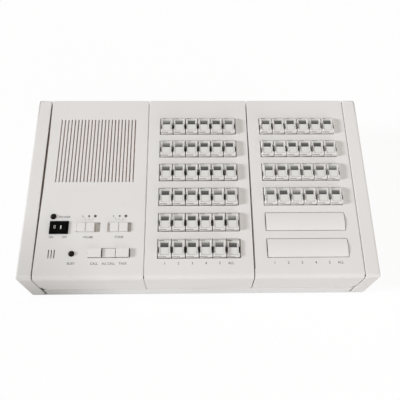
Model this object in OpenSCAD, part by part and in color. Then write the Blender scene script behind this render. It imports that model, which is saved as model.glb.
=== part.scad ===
// Desk intercom console: three faceplates side by side between two end cheeks, on a base tray.
// Right-handed frame in millimetres: X to the user's right, Y to the back, Z up.
// The origin is on the table, under the middle of the case.

/* [Case] */
// Width of one faceplate, seam to seam
panel_w = 120; // [116:1:130]
// Length of the sloping deck, from the front edge to the back edge
deck_len = 222.5; // [208:0.5:240]
// Angle of the deck above level
deck_slope = 8; // [5:0.5:10]
// Height of the deck's front edge above the table
front_h = 58.5; // [56:0.5:70]
// Width of each end cheek
cheek_w = 16.4; // [12:0.2:20]
// Wall of the cheeks and the base tray
wall = 2.5; // [2:0.1:3]
// Wall of the faceplates
face_t = 2.5; // [2:0.1:3]
// How far the faceplates come down the front
apron_h = 36; // [30:1:38]
// How far the faceplates come down the back
lip_h = 14; // [8:1:20]
// Open seam between two faceplates
seam = 1.2; // [0.6:0.1:1.6]
// Open seam between the outer faceplates and the cheeks' faces
cheek_seam = 0.8; // [0.2:0.1:1.2]
// Radius of the bend at the deck's front edge
front_r = 6; // [4:0.5:8]
// Radius of the bend at the deck's back edge
back_r = 1.5; // [1:0.5:6]
// Radius of the cheeks' outer edges
cheek_r = 3; // [2:0.5:6]
// Radius of the cheeks' back corners, seen from above
cheek_back_r = 6; // [3:0.5:8]
// Radius of the base tray's front corners, seen from above
tray_r = 6.5; // [4:0.5:8]
// Groove between the faceplates' lower edge and the base tray
tray_groove = 1.5; // [0.8:0.1:2.5]
// Height of the tray's side walls
tray_side_h = 22; // [20:1:26]
// Height of the rubber feet
foot_h = 2.5; // [2:0.5:4]
// Radius of the rubber feet
foot_r = 7; // [5:0.5:8]

/* [Station keys] */
// Distance between two keys of a row
key_pitch = 15; // [14.6:0.1:15.4]
// Open gap between two keys
key_gap = 1; // [0.4:0.1:1.2]
// Length of a key, front to back
key_d = 20.6; // [19:0.2:22]
// Height of a key above the deck
key_proud = 5; // [4:0.25:6]
// Depth of a key below the deck
key_skirt = 8; // [7:0.5:9]
// Travel of a key
key_travel = 3.5; // [2.5:0.25:4]
// How far a latched key stays down
key_latch = 2.2; // [1:0.1:2.4]
// Clearance of keys, buttons and knobs in the faceplate's openings
key_clear = 0.6; // [0.3:0.1:0.8]
// Distance from the deck's front edge to the middle of the first row
row_first = 33; // [30:0.5:34]
// Distance from the middle of the last row to the deck's back edge
row_last = 37; // [30:0.25:40]
// Width of the window in a key
window_w = 8.8; // [7:0.2:9]
// Side of a key's square stem
stem_w = 5; // [4:0.5:6]

/* [Controls] */
// Width of a call button
button_w = 14.4; // [13:0.2:14.6]
// Length of a call button, front to back
button_d = 9.4; // [8:0.2:10]
// Height of the call and talk buttons above the deck
button_proud = 3.2; // [2.5:0.1:4]
// Height of the lower button between them above the deck
low_button_proud = 1.4; // [0.5:0.1:2]
// Travel of the call, all-call and talk buttons
button_travel = 3; // [2:0.25:3.5]
// Length of a slide knob, left to right
knob_w = 19.6; // [17:0.2:20]
// Width of a slide knob, front to back
knob_d = 10; // [9:0.2:11]
// Height of a slide knob above the deck
knob_proud = 2.5; // [1.5:0.1:3]
// Travel of a slide knob, end to end
knob_travel = 5; // [4:0.5:6]
// Width of the power switch's bezel
bezel_w = 21; // [20.6:0.2:22]
// Length of the power switch's bezel, front to back
bezel_d = 15; // [14.6:0.2:16]
// Height of the power switch's bezel above the deck
bezel_t = 1.4; // [1:0.1:2]
// Angle between the power switch's two positions
rocker_swing = 15; // [12:1:16]
// Radius of an indicator lamp's collar
lamp_r = 3.25; // [3:0.05:4]

/* [Speaker] */
// Radius of the speaker's rim
speaker_r = 45; // [38:0.5:46]
// Depth of the speaker's basket
basket_h = 17; // [14:1:18]
// Radius of the speaker's magnet
magnet_r = 20; // [16:0.5:22]
// Depth of the speaker's magnet
magnet_h = 11; // [8:0.5:13]
// Number of slots in the speaker grille
grille_slots = 23; // [15:2:23]
// Distance between two grille slots
grille_pitch = 4.06; // [3.6:0.02:4.1]
// Width of a grille slot
grille_slot_w = 1.4; // [1.2:0.1:2.2]
// Length of a grille slot
grille_slot_len = 82.7; // [70:0.1:84]

/* [Inside] */
// Depth of the circuit boards below the deck's surface
board_depth = 24.5; // [23.5:0.25:25.5]
// Thickness of the circuit boards
board_t = 1.6; // [1.2:0.2:2]
// Height of the key switches on their board
switch_h = 11; // [10:0.25:11.5]
// Radius of the screw bosses
boss_r = 3.5; // [3:0.1:4]
// Radius of the case screws' thread
screw_r = 1.5; // [1.2:0.1:1.6]
// Radius of the case screws' head
screw_head_r = 2.8; // [2.6:0.1:3]
// Height where the case screws' bosses meet the tray's posts
post_top = 20; // [18:1:24]
// Width of a line connector
line_w = 62; // [50:1:66]
// Height of a line connector
line_h = 14; // [12:0.5:16]

/* [Hidden] */
$fn = 48;
eps = 0.01;
bolt_clear = 0.3;
thread_clear = 0.05;
side_clear = 0.2;

depth = deck_len * cos(deck_slope);
front_y = -depth / 2;
back_y = depth / 2;
deck_rise = tan(deck_slope);
half_face = 1.5 * panel_w;
cheek_x = half_face + cheek_seam;
half_w = cheek_x + cheek_w;
flange_t = 1.8;
flange_h = 6;
flange_lift = 4.5;
top_room = 20;
least_r = 0.6;

// The tray
floor_top = foot_h + wall;
tray_front_top = front_h - apron_h - tray_groove;
tray_tongue_h = 5;
tray_back_gap = 6;
foot_in_x = 20;
foot_in_y = 24;

// Screw places of one faceplate, from its middle and from the case's front and back
case_screw_x = panel_w / 2 - 7;
case_screw_y = 13;
post_r = 4.8;
head_h = 2;
head_seat = foot_h + 8;
case_screw_len = 18;
cheek_screw_y = 70;
cheek_screw_z = 14;
cheek_screw_len = 9;

// Keys
rows = 6;
keys = 6;
row_pitch = (deck_len - row_first - row_last) / (rows - 1);
key_w = key_pitch - key_gap;
row_w = keys * key_pitch - key_gap + 2 * key_clear;
opening_d = key_d + 2 * key_clear;
bevel_back = 2.7;
bevel_front = 1.8;
bevel_drop = 2.2;
window_depth = 1;
window_slope = 0.5;
window_flare = 1.1;
notch_d = 7.4;
notch_w = 1;
notch_y = -2.2;
notch_depth = 6.5;
stem_clear = 0.2;
stem_drop = 10;
switch_d = 17;
latched_row = 0;
latched_key = 5;
blank_crown = 1.4;
blank_t = 2;

// Controls on the left faceplate, from its middle and from the deck's front edge
control_x = -panel_w;
row_y = 28.5;
button_x = control_x + 21.5;
slide_y = 57.9;
voice_x = control_x - 3.2;
tone_x = control_x + 31.1;
knob_grip = 1;
slide_stem = 17;
slide_floor = 0.3;
rocker_x = control_x - 35.5;
rocker_y = 57.7;
power_lamp = [control_x - 43, 70.7];
busy_lamp = [control_x - 19.3, 27.8];
mic_x = control_x - 41.3;
mic_y = 27.9;
mic_slot_pitch = 3.15;
mic_slot_w = 1.2;
mic_slot_len = 9.7;
lamp_deep = 9;
lamp_rim = 1;
mic_r = 5.5;
mic_h = 7;

// Power switch
switch_body_w = bezel_w - 2;
switch_body_d = bezel_d - 2;
switch_body_h = 16;
rocker_w = switch_body_w - 3;
rocker_d = switch_body_d - 1.7;
rocker_room = 0.75;
rocker_end_h = 3.4;
rocker_mid_h = 2;
rocker_low = 3;
rocker_pivot = 1;
pin_r = 1.2;
pin_out = 0.55;

// Speaker
grille_x = control_x - 0.6;
grille_y = deck_len - 68.5;
rim_t = 1.5;
basket_t = 1;
basket_floor_r = magnet_r - 2;
speaker_boss_h = 3;
ear_at = speaker_r + 4.5;
ear_r = 4.5;

// Boards
board_w = panel_w - 24;
board_front = 14;
board_back = deck_len - 18.5;
control_board_back = 96;
board_boss_x = 40;
board_screw_r = 1.2;
board_head_r = 2.4;
board_head_h = 1.6;
board_screw_len = 6;
ear_screw_len = 2.5;
key_boss_rows = [0.5, 4.5];
control_boss_y = [18, 90];

// Back
back_panel_t = 2;
back_panel_y = back_y - face_t - bolt_clear - back_panel_t;
lip_z = front_h + depth * deck_rise - lip_h;
lip_y = back_y - face_t - flange_h - 2;
line_z = 32;
line_depth = 12;
line_ear = 7;
line_flange_w = line_w + 2 * line_ear;
line_flange_t = 2;
line_cavity_w = line_w - 6;
line_cavity_h = line_h - 6;
line_cavity_depth = 10;
line_screw_x = (line_w + line_ear) / 2;
inlet_w = 9;
inlet_x = control_x - case_screw_x + boss_r + inlet_w / 2 + 3;
inlet_z = 54;
inlet_h = 11;
inlet_depth = 14;
inlet_bore_r = 2.9;
inlet_bore_depth = 9;
inlet_pin_r = 1;
ribbon_w = 50;
ribbon_t = 1.2;

ROW_KEYS = [for (r = [1:4]) for (k = [1:6]) str("row", r, k < 6 ? str("_key", k) : "_all_key")];
FIXED = ["base_tray", "left_cheek", "right_cheek", "control_faceplate", "middle_faceplate",
         "right_faceplate", "blanking_plates", "rear_panel", "speaker_frame", "speaker_magnet",
         "speaker_cone", "control_board", "key_boards", "push_switches", "slide_switches",
         "power_switch_frame", "indicator_lamps", "microphone", "line_connectors", "dc_inlet",
         "wiring_ribbons", "rubber_feet", "case_screws", "board_screws"];
CONTROLS = ["call_button", "all_call_button", "talk_button", "voice_slider", "tone_slider",
            "power_rocker"];
ROW_GROUPS = ["row5_keys", "row6_keys", "right_row3_keys", "right_row4_keys", "right_row5_keys",
              "right_row6_keys"];

function deck_z(y) = front_h + (y - front_y) * deck_rise;
function key_x(k) = (k - (keys - 1) / 2) * key_pitch;
function row_at(r) = row_first + r * row_pitch;

// Children are placed with X across, Y back along the deck and Z out of its surface
module on_deck() {
    translate([0, front_y, front_h])
        rotate([deck_slope, 0, 0])
            children();
}

module prism_x(x0, x1) {
    translate([x0, 0, 0])
        rotate([90, 0, 90])
            linear_extrude(x1 - x0)
                children();
}

module prism_y(y0, y1) {
    translate([0, y1, 0])
        rotate([90, 0, 0])
            linear_extrude(y1 - y0)
                children();
}

// A box standing on its middle: X and Y centred, Z from z0 to z1
module block(w, d, z0, z1) {
    translate([-w / 2, -d / 2, z0])
        cube([w, d, z1 - z0]);
}

module post(r, z0, z1) {
    translate([0, 0, z0])
        cylinder(r = r, h = z1 - z0);
}

// What a radius takes off the outline where the deck meets an upright edge
module deck_corner(edge, side, r, inset) {
    cy = edge + side * r;
    cz = deck_z(cy) - (inset + r) / cos(deck_slope);
    difference() {
        polygon([[cy, cz], [edge - side, cz], [edge - side, cz + 2 * r + 1],
                 [cy - (r + 1) * sin(deck_slope), cz + (r + 1) * cos(deck_slope)]]);
        translate([cy, cz])
            circle(r);
    }
}

// Side view of the case, as Y and Z, drawn in by inset; reach widens it below the deck's bends
module side_outline(inset = 0, bottom = foot_h, reach = 0) {
    drop = inset / cos(deck_slope);
    y0 = front_y + inset;
    y1 = back_y - inset;
    difference() {
        polygon([[y0 - reach, bottom], [y1 + reach, bottom], [y1 + reach, deck_z(y1) - drop],
                 [y0 - reach, deck_z(y0) - drop]]);
        deck_corner(y0, 1, max(front_r - inset, least_r), inset);
        deck_corner(y1, -1, max(back_r - inset, least_r), inset);
    }
}

// Part of a side view that the faceplates cover, from lift above their lower edges
module face_band(outer, inner, lift = 0) {
    intersection() {
        difference() {
            side_outline(outer);
            side_outline(inner, foot_h - 1);
        }
        union() {
            translate([front_y - 1, front_h - apron_h + lift])
                square([lip_y - front_y + 1, apron_h + top_room + depth * deck_rise]);
            translate([lip_y, lip_z + lift])
                square([back_y - lip_y + 1, lip_h + top_room]);
        }
    }
}

// Waste outside a rounded corner of an outline that lies towards +X and +Y
module corner_waste(r) {
    difference() {
        translate([-1, -1])
            square(r + 1);
        translate([r, r])
            circle(r);
    }
}

module screw(r, len, head_r, head) {
    post(head_r, -head, 0);
    post(r, -eps, len);
}

module faceplate_screw_places(cx) {
    for (sx = [-1, 1])
        for (y = [front_y + case_screw_y, back_y - case_screw_y])
            translate([cx + sx * case_screw_x, y, 0])
                children();
}

module cheek_screw_places() {
    for (y = [-cheek_screw_y, cheek_screw_y])
        translate([cheek_x, y, cheek_screw_z])
            rotate([0, 90, 0])
                children();
}

module board_boss_places(cx, ys) {
    for (sx = [-1, 1])
        for (y = ys)
            translate([cx + sx * board_boss_x, y, 0])
                children();
}

function key_boss_ys() = [for (i = key_boss_rows) row_at(i)];

module speaker_ear_places() {
    for (a = [0:90:270])
        translate([grille_x, grille_y, 0])
            rotate([0, 0, a])
                translate([ear_at, 0, 0])
                    children();
}

// ---- Case -------------------------------------------------------------------------------

// The tray between the cheeks, seen from above
module tray_outline() {
    difference() {
        translate([-cheek_x, front_y])
            square([2 * cheek_x, depth]);
        for (s = [-1, 1])
            translate([s * cheek_x, front_y])
                mirror([s > 0 ? 1 : 0, 0])
                    corner_waste(tray_r);
    }
}

// Floor of the tray, which also carries the cheeks
module tray_floor_outline() {
    difference() {
        translate([-half_w, front_y])
            square([2 * half_w, depth]);
        for (s = [0, 1])
            mirror([s, 0]) {
                translate([half_w, front_y])
                    mirror([1, 0])
                        corner_waste(cheek_r);
                translate([half_w, back_y])
                    rotate(180)
                        corner_waste(cheek_back_r);
            }
    }
}

module base_tray() {
    color([0.80, 0.79, 0.78])
        difference() {
            union() {
                translate([0, 0, foot_h])
                    linear_extrude(wall)
                        tray_floor_outline();
                // Front wall, flush with the apron, and the tongue behind the apron
                intersection() {
                    translate([0, 0, foot_h])
                        linear_extrude(tray_front_top - foot_h)
                            tray_outline();
                    translate([-half_w, front_y - 1, foot_h])
                        cube([2 * half_w, tray_r + 1, front_h]);
                }
                translate([-half_face + flange_t + tray_r, front_y + face_t + bolt_clear, foot_h])
                    cube([2 * (half_face - flange_t - tray_r), wall,
                          tray_front_top + tray_tongue_h - foot_h]);
                for (s = [-1, 1])
                    translate([s * (cheek_x - wall / 2), 0, 0])
                        translate([0, (tray_r - tray_back_gap) / 2, 0])
                            block(wall, depth - tray_r - tray_back_gap, foot_h, foot_h + tray_side_h);
                for (cx = [-panel_w, 0, panel_w])
                    faceplate_screw_places(cx)
                        post(post_r, foot_h, post_top);
            }
            translate([-cheek_x + wall, front_y + wall, floor_top])
                cube([2 * (cheek_x - wall), tray_r - wall, tray_front_top - floor_top - wall]);
            for (cx = [-panel_w, 0, panel_w])
                faceplate_screw_places(cx) {
                    post(screw_r + bolt_clear, foot_h - 1, post_top + 1);
                    post(screw_head_r + bolt_clear, foot_h - 1, head_seat);
                }
            for (s = [0, 1])
                mirror([s, 0, 0])
                    cheek_screw_places()
                        post(screw_r + bolt_clear, -wall - 1, 1);
        }
}

// The right cheek seen from above, with its rounded outer corners
module cheek_plan() {
    difference() {
        translate([cheek_x, front_y])
            square([cheek_w, depth]);
        translate([half_w, front_y])
            mirror([1, 0])
                corner_waste(cheek_r);
        translate([half_w, back_y])
            rotate(180)
                corner_waste(cheek_back_r);
    }
}

// The right cheek seen along the deck, with its rounded upper edge
module cheek_section() {
    difference() {
        translate([cheek_x, -depth])
            square([cheek_w, depth]);
        translate([half_w, 0])
            rotate(180)
                corner_waste(cheek_r);
    }
}

module right_cheek_body() {
    difference() {
        intersection() {
            prism_x(cheek_x, half_w + 1)
                side_outline(bottom = floor_top, reach = 0.5);
            linear_extrude(front_h + depth * deck_rise + top_room)
                cheek_plan();
            on_deck()
                prism_y(-top_room, deck_len + top_room)
                    cheek_section();
        }
        difference() {
            prism_x(cheek_x - 1, half_w - wall)
                side_outline(wall, floor_top + wall);
            cheek_screw_places()
                post(boss_r, -2, cheek_w);
        }
        cheek_screw_places()
            post(screw_r, -2, cheek_screw_len + 1);
    }
}

module right_cheek() {
    color([0.87, 0.86, 0.84])
        right_cheek_body();
}

module left_cheek() {
    color([0.87, 0.86, 0.84])
        mirror([1, 0, 0])
            right_cheek_body();
}

// A bare faceplate: sheet, side flanges and the bosses for its case screws
module faceplate_blank(cx) {
    x0 = cx - panel_w / 2 + seam / 2;
    x1 = cx + panel_w / 2 - seam / 2;
    prism_x(x0, x1)
        face_band(0, face_t);
    for (x = [x0, x1 - flange_t])
        prism_x(x, x + flange_t)
            face_band(face_t / 2, face_t + flange_h, flange_lift);
    difference() {
        intersection() {
            faceplate_screw_places(cx)
                post(boss_r, post_top, front_h + depth);
            prism_x(x0, x1)
                side_outline(face_t / 2);
        }
        faceplate_screw_places(cx)
            post(screw_r, post_top - 1, head_seat + case_screw_len + 1);
    }
}

module board_bosses(cx, ys) {
    on_deck()
        board_boss_places(cx, ys)
            difference() {
                post(boss_r - 0.5, -board_depth, -face_t / 2);
                post(board_screw_r, -board_depth - 1, -board_depth + board_screw_len + 2);
            }
}

// Lower outer corner of an apron, cut away beside the cheek
module apron_corner_cut(s) {
    translate([s * (half_face - seam / 2), 0, front_h - apron_h])
        prism_y(front_y - 1, front_y + tray_r)
            polygon([[s * 3, -1], [-s * (tray_r + 0.6), -1], [0, 9], [s * 3, 9]]);
}

module control_faceplate() {
    opening_w = knob_w + knob_travel + 2 * key_clear;
    color([0.87, 0.86, 0.84]) {
        difference() {
            faceplate_blank(control_x);
            apron_corner_cut(-1);
            on_deck() {
                for (i = [0:grille_slots - 1])
                    translate([grille_x + (i - (grille_slots - 1) / 2) * grille_pitch, grille_y, 0])
                        block(grille_slot_w, grille_slot_len, -face_t - 1, 1);
                for (i = [-1:1])
                    translate([mic_x + i * mic_slot_pitch, mic_y, 0])
                        block(mic_slot_w, mic_slot_len, -face_t - 1, 1);
                translate([button_x, row_y, 0])
                    block(3 * key_pitch + key_clear, button_d + 2 * key_clear, -face_t - 1, 1);
                for (x = [voice_x, tone_x])
                    translate([x, slide_y, 0])
                        block(opening_w, knob_d + 2 * key_clear, -face_t - 1, 1);
                translate([rocker_x, rocker_y, 0])
                    block(switch_body_w + 2 * side_clear, switch_body_d + 2 * side_clear,
                          -face_t - 1, 1);
                for (p = [power_lamp, busy_lamp])
                    translate([p[0], p[1], 0])
                        post(lamp_r - 0.5, -face_t - 1, 1);
            }
        }
        board_bosses(control_x, control_boss_y);
        on_deck()
            speaker_ear_places()
                difference() {
                    post(boss_r - 0.5, -face_t - speaker_boss_h, -face_t / 2);
                    post(board_screw_r, -face_t - speaker_boss_h - 1, -face_t + eps);
                }
    }
}

module selector_faceplate(cx) {
    color([0.87, 0.86, 0.84]) {
        difference() {
            faceplate_blank(cx);
            if (cx > 0)
                apron_corner_cut(1);
            on_deck()
                for (r = [0:rows - 1])
                    translate([cx, row_at(r), 0])
                        block(row_w, opening_d, -face_t - 1, 1);
        }
        board_bosses(cx, key_boss_ys());
    }
}

module middle_faceplate() {
    selector_faceplate(0);
}

module right_faceplate() {
    selector_faceplate(panel_w);
}

// Crowned covers in the two openings that hold no keys, with a lip under the faceplate
module blanking_plates() {
    w = row_w - 2 * key_clear;
    crown_r = (key_d * key_d / 4 + blank_crown * blank_crown) / (2 * blank_crown);
    color([0.88, 0.87, 0.85])
        on_deck()
            for (r = [0, 1])
                translate([panel_w, row_at(r), 0]) {
                    prism_x(-w / 2, w / 2)
                        intersection() {
                            translate([0, blank_crown - crown_r])
                                circle(crown_r, $fn = 96);
                            translate([-key_d / 2, -face_t])
                                square([key_d, face_t + blank_crown]);
                        }
                    block(row_w + 2, opening_d + 2, -face_t - blank_t, -face_t);
                }
}

module rear_panel() {
    color([0.80, 0.79, 0.78])
        difference() {
            translate([-cheek_x + side_clear, back_panel_y, floor_top])
                cube([2 * (cheek_x - side_clear), back_panel_t, lip_z + 4 - floor_top]);
            for (cx = [-panel_w, 0, panel_w]) {
                translate([cx, 0, line_z])
                    prism_y(back_panel_y - 1, back_y)
                        square([line_w + 2 * side_clear, line_h + 2 * side_clear], center = true);
                for (s = [-1, 1])
                    translate([cx + s * line_screw_x, back_y, line_z])
                        rotate([90, 0, 0])
                            post(board_screw_r + bolt_clear, 0, face_t + back_panel_t + 2);
            }
            translate([inlet_x, 0, inlet_z])
                prism_y(back_panel_y - 1, back_y)
                    square([inlet_w + 2 * side_clear, inlet_h + 2 * side_clear], center = true);
        }
}

module rubber_feet() {
    color([0.12, 0.12, 0.12])
        for (sx = [-1, 1])
            for (sy = [-1, 1])
                translate([sx * (half_face - foot_in_x), sy * (depth / 2 - foot_in_y), 0])
                    rotate_extrude()
                        polygon([[0, 0], [foot_r - 0.8, 0], [foot_r, 0.8], [foot_r, foot_h],
                                 [0, foot_h]]);
}

module case_screws() {
    color([0.70, 0.70, 0.72]) {
        for (cx = [-panel_w, 0, panel_w])
            faceplate_screw_places(cx)
                translate([0, 0, head_seat])
                    screw(screw_r - thread_clear, case_screw_len, screw_head_r, head_h);
        for (s = [0, 1])
            mirror([s, 0, 0])
                cheek_screw_places()
                    translate([0, 0, -wall])
                        screw(screw_r - thread_clear, wall + cheek_screw_len, screw_head_r, head_h);
    }
}

// ---- Speaker ----------------------------------------------------------------------------

module on_speaker() {
    on_deck()
        translate([grille_x, grille_y, -face_t - speaker_boss_h])
            children();
}

module speaker_frame() {
    color([0.55, 0.56, 0.57])
        on_speaker() {
            difference() {
                union() {
                    post(speaker_r, -rim_t, 0);
                    for (a = [0:90:270])
                        rotate([0, 0, a]) {
                            translate([ear_at, 0, 0])
                                post(ear_r, -rim_t, 0);
                            translate([ear_at - ear_r, 0, 0])
                                block(2 * ear_r, 2 * ear_r, -rim_t, 0);
                        }
                }
                post(speaker_r - 5, -rim_t - 1, 1);
                for (a = [0:90:270])
                    rotate([0, 0, a])
                        translate([ear_at, 0, 0])
                            post(board_screw_r + bolt_clear, -rim_t - 1, 1);
            }
            difference() {
                rotate_extrude($fn = 72)
                    polygon([[speaker_r - 5.5, -rim_t], [speaker_r - 4, -rim_t],
                             [basket_floor_r + basket_t, -basket_h], [0, -basket_h],
                             [0, basket_t - basket_h], [basket_floor_r, basket_t - basket_h]]);
                for (a = [45:90:315])
                    rotate([0, 0, a])
                        translate([basket_floor_r + (speaker_r - basket_floor_r) / 2, 0, 0])
                            block(12, 22, -basket_h - 1, -rim_t - 3);
            }
        }
}

module speaker_magnet() {
    color([0.25, 0.25, 0.26])
        on_speaker()
            post(magnet_r, -basket_h - magnet_h, -basket_h);
}

// Paper cone with its rolled edge and dust cap
module speaker_cone() {
    cone_out = speaker_r - 5.2;
    cap_r = 9;
    color([0.16, 0.15, 0.15])
        on_speaker()
            rotate_extrude($fn = 72)
                polygon([[0, 3 - basket_h], [cap_r, 2.2 - basket_h], [cone_out - 5, -3],
                         [cone_out - 2.5, -rim_t], [cone_out, -rim_t], [cone_out, -0.7],
                         [cone_out - 2.5, -0.3], [cone_out - 5, -2], [cap_r, 3.6 - basket_h],
                         [0, 6 - basket_h]]);
}

// ---- Boards and switches ----------------------------------------------------------------

module board_plate(cx, y1, ys) {
    on_deck()
        difference() {
            translate([cx - board_w / 2, board_front, -board_depth - board_t])
                cube([board_w, y1 - board_front, board_t]);
            board_boss_places(cx, ys)
                post(board_screw_r + bolt_clear, -board_depth - board_t - 1, -board_depth + 1);
        }
}

// Board with its amplifier chips and capacitors on the underside
module control_board() {
    color([0.20, 0.36, 0.22]) {
        board_plate(control_x, control_board_back, control_boss_y);
        on_deck()
            translate([control_x, 0, -board_depth - board_t]) {
                for (x = [-22, 2])
                    translate([x, 40, 0])
                        block(18, 7, -4, 0);
                for (x = [-20, 0, 20])
                    translate([x, 66, 0])
                        post(5, -12, 0);
            }
    }
}

module key_boards() {
    color([0.20, 0.36, 0.22])
        for (cx = [0, panel_w])
            board_plate(cx, board_back, key_boss_ys());
}

// A bank of push switches under a row of keys: one body with a square well for each stem
module switch_bank(n, pitch, d, top) {
    difference() {
        block(n * pitch - 2, d, -board_depth, top);
        for (k = [0:n - 1])
            translate([(k - (n - 1) / 2) * pitch, 0, 0])
                block(stem_w + 2 * stem_clear, stem_w + 2 * stem_clear, -board_depth + 1, top + 1);
    }
}

module push_switches() {
    color([0.15, 0.15, 0.16])
        on_deck() {
            for (r = [0:rows - 1])
                translate([0, row_at(r), 0])
                    switch_bank(keys, key_pitch, switch_d, switch_h - board_depth);
            for (r = [2:rows - 1])
                translate([panel_w, row_at(r), 0])
                    switch_bank(keys, key_pitch, switch_d, switch_h - board_depth);
            translate([button_x, row_y, 0])
                switch_bank(3, key_pitch, button_d, switch_h - board_depth);
        }
}

// Housings of the two slide switches, up against the underside of the faceplate
module slide_switches() {
    color([0.15, 0.15, 0.16])
        on_deck()
            for (x = [voice_x, tone_x])
                translate([x, slide_y, 0])
                    difference() {
                        block(knob_w + knob_travel + 4, knob_d + 3, -board_depth, -face_t);
                        block(stem_w + knob_travel + 2 * stem_clear, stem_w - 2 + 2 * stem_clear,
                              -face_t - slide_stem - 1, 0);
                    }
}

module microphone() {
    color([0.10, 0.10, 0.10])
        on_deck()
            translate([mic_x, mic_y, 0])
                post(mic_r, -face_t - mic_h, -face_t);
}

// Collar on the deck, barrel through it and the domed lens
module indicator_lamps() {
    color([0.10, 0.03, 0.03])
        on_deck()
            for (p = [power_lamp, busy_lamp])
                translate([p[0], p[1], 0])
                    rotate_extrude()
                        difference() {
                            union() {
                                translate([0, -lamp_deep])
                                    square([lamp_r - 0.6, lamp_deep + lamp_rim]);
                                square([lamp_r, lamp_rim]);
                                translate([0, 0.2])
                                    circle(lamp_r - 0.7);
                            }
                            translate([-2 * lamp_r, -lamp_deep - 1])
                                square([2 * lamp_r, lamp_deep + 2 * lamp_r]);
                        }
}

module board_screws() {
    color([0.70, 0.70, 0.72]) {
        on_deck() {
            board_boss_places(control_x, control_boss_y)
                translate([0, 0, -board_depth - board_t])
                    screw(board_screw_r - thread_clear, board_t + board_screw_len, board_head_r,
                          board_head_h);
            for (cx = [0, panel_w])
                board_boss_places(cx, key_boss_ys())
                    translate([0, 0, -board_depth - board_t])
                        screw(board_screw_r - thread_clear, board_t + board_screw_len,
                              board_head_r, board_head_h);
            speaker_ear_places()
                translate([0, 0, -face_t - speaker_boss_h - rim_t])
                    screw(board_screw_r - thread_clear, rim_t + ear_screw_len, board_head_r,
                          board_head_h);
        }
        for (cx = [-panel_w, 0, panel_w])
            for (s = [-1, 1])
                translate([cx + s * line_screw_x, back_panel_y + back_panel_t, line_z])
                    rotate([90, 0, 0])
                        screw(board_screw_r - thread_clear, back_panel_t + line_flange_t,
                              board_head_r, board_head_h);
    }
}

// ---- Power switch -----------------------------------------------------------------------

module power_switch_frame() {
    cavity_w = rocker_w + 2 * rocker_room;
    cavity_d = rocker_d + 2 * side_clear;
    color([0.05, 0.05, 0.05])
        on_deck()
            translate([rocker_x, rocker_y, 0])
                difference() {
                    union() {
                        block(bezel_w, bezel_d, 0, bezel_t);
                        block(switch_body_w, switch_body_d, -switch_body_h, bezel_t);
                    }
                    block(cavity_w, cavity_d, -6, bezel_t + 1);
                    translate([0, switch_body_d / 2 + 1, -rocker_pivot])
                        rotate([90, 0, 0])
                            cylinder(r = pin_r + thread_clear, h = switch_body_d + 2);
                }
}

module power_rocker() {
    color([0.03, 0.03, 0.03])
        on_deck()
            translate([rocker_x, rocker_y, -rocker_pivot])
                rotate([0, rocker_swing / 2, 0]) {
                    prism_y(-rocker_d / 2, rocker_d / 2)
                        polygon([[-rocker_w / 2, -rocker_low], [rocker_w / 2, -rocker_low],
                                 [rocker_w / 2, rocker_end_h + rocker_pivot],
                                 [0, rocker_mid_h + rocker_pivot],
                                 [-rocker_w / 2, rocker_end_h + rocker_pivot]]);
                    translate([0, rocker_d / 2 + pin_out, 0])
                        rotate([90, 0, 0])
                            cylinder(r = pin_r, h = rocker_d + 2 * pin_out);
                }
}

// ---- Keys and buttons -------------------------------------------------------------------

// A key from its middle at deck level: bevelled cap, sunk window, side notches and stem
module key_solid() {
    half = key_d / 2;
    low = key_proud - bevel_drop;
    win_front = -half + bevel_front;
    win_back = half - bevel_back;
    sink = key_proud - window_depth;
    difference() {
        prism_x(-key_w / 2, key_w / 2)
            polygon([[-half, -key_skirt], [half, -key_skirt], [half, low], [win_back, key_proud],
                     [win_front, key_proud], [-half, low]]);
        intersection() {
            prism_x(-key_w, key_w)
                polygon([[win_front + window_slope, sink], [win_back - window_slope, sink],
                         [win_back + window_slope, key_proud + window_depth],
                         [win_front - window_slope, key_proud + window_depth]]);
            prism_y(-key_d, key_d)
                polygon([[-window_w / 2, sink], [window_w / 2, sink],
                         [window_w / 2 + 2 * window_flare, key_proud + window_depth],
                         [-window_w / 2 - 2 * window_flare, key_proud + window_depth]]);
        }
        for (s = [-1, 1])
            translate([s * key_w / 2, notch_y, 0])
                block(2 * notch_w, notch_d, key_proud - notch_depth, key_proud + 1);
    }
    block(stem_w, stem_w, -key_skirt - stem_drop, -key_skirt);
}

module place_key(cx, r, k) {
    down = cx == 0 && r == latched_row && k == latched_key ? key_latch : 0;
    color([0.88, 0.87, 0.85])
        on_deck()
            translate([cx + key_x(k), row_at(r), -down])
                key_solid();
}

module key_row(cx, r) {
    for (k = [0:keys - 1])
        place_key(cx, r, k);
}

module button(i, proud) {
    color([0.88, 0.87, 0.85])
        on_deck()
            translate([button_x + i * key_pitch, row_y, 0]) {
                block(button_w, button_d, proud - 11, proud);
                block(stem_w, stem_w, proud - 21, proud - 11);
            }
}

module call_button() {
    button(-1, button_proud);
}

module all_call_button() {
    button(0, low_button_proud);
}

module talk_button() {
    button(1, button_proud);
}

// Slide knob: low cap with a groove across it, on a stem down into its switch
module slide_knob(x) {
    color([0.88, 0.87, 0.85])
        on_deck()
            translate([x, slide_y, 0]) {
                difference() {
                    block(knob_w, knob_d, slide_floor - face_t, knob_proud);
                    block(knob_grip, knob_d + 1, knob_proud - 0.9, knob_proud + 1);
                }
                block(stem_w, stem_w - 2, -face_t - slide_stem, slide_floor - face_t);
            }
}

module voice_slider() {
    slide_knob(voice_x - knob_travel / 2);
}

module tone_slider() {
    slide_knob(tone_x);
}

// ---- Back -------------------------------------------------------------------------------

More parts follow.
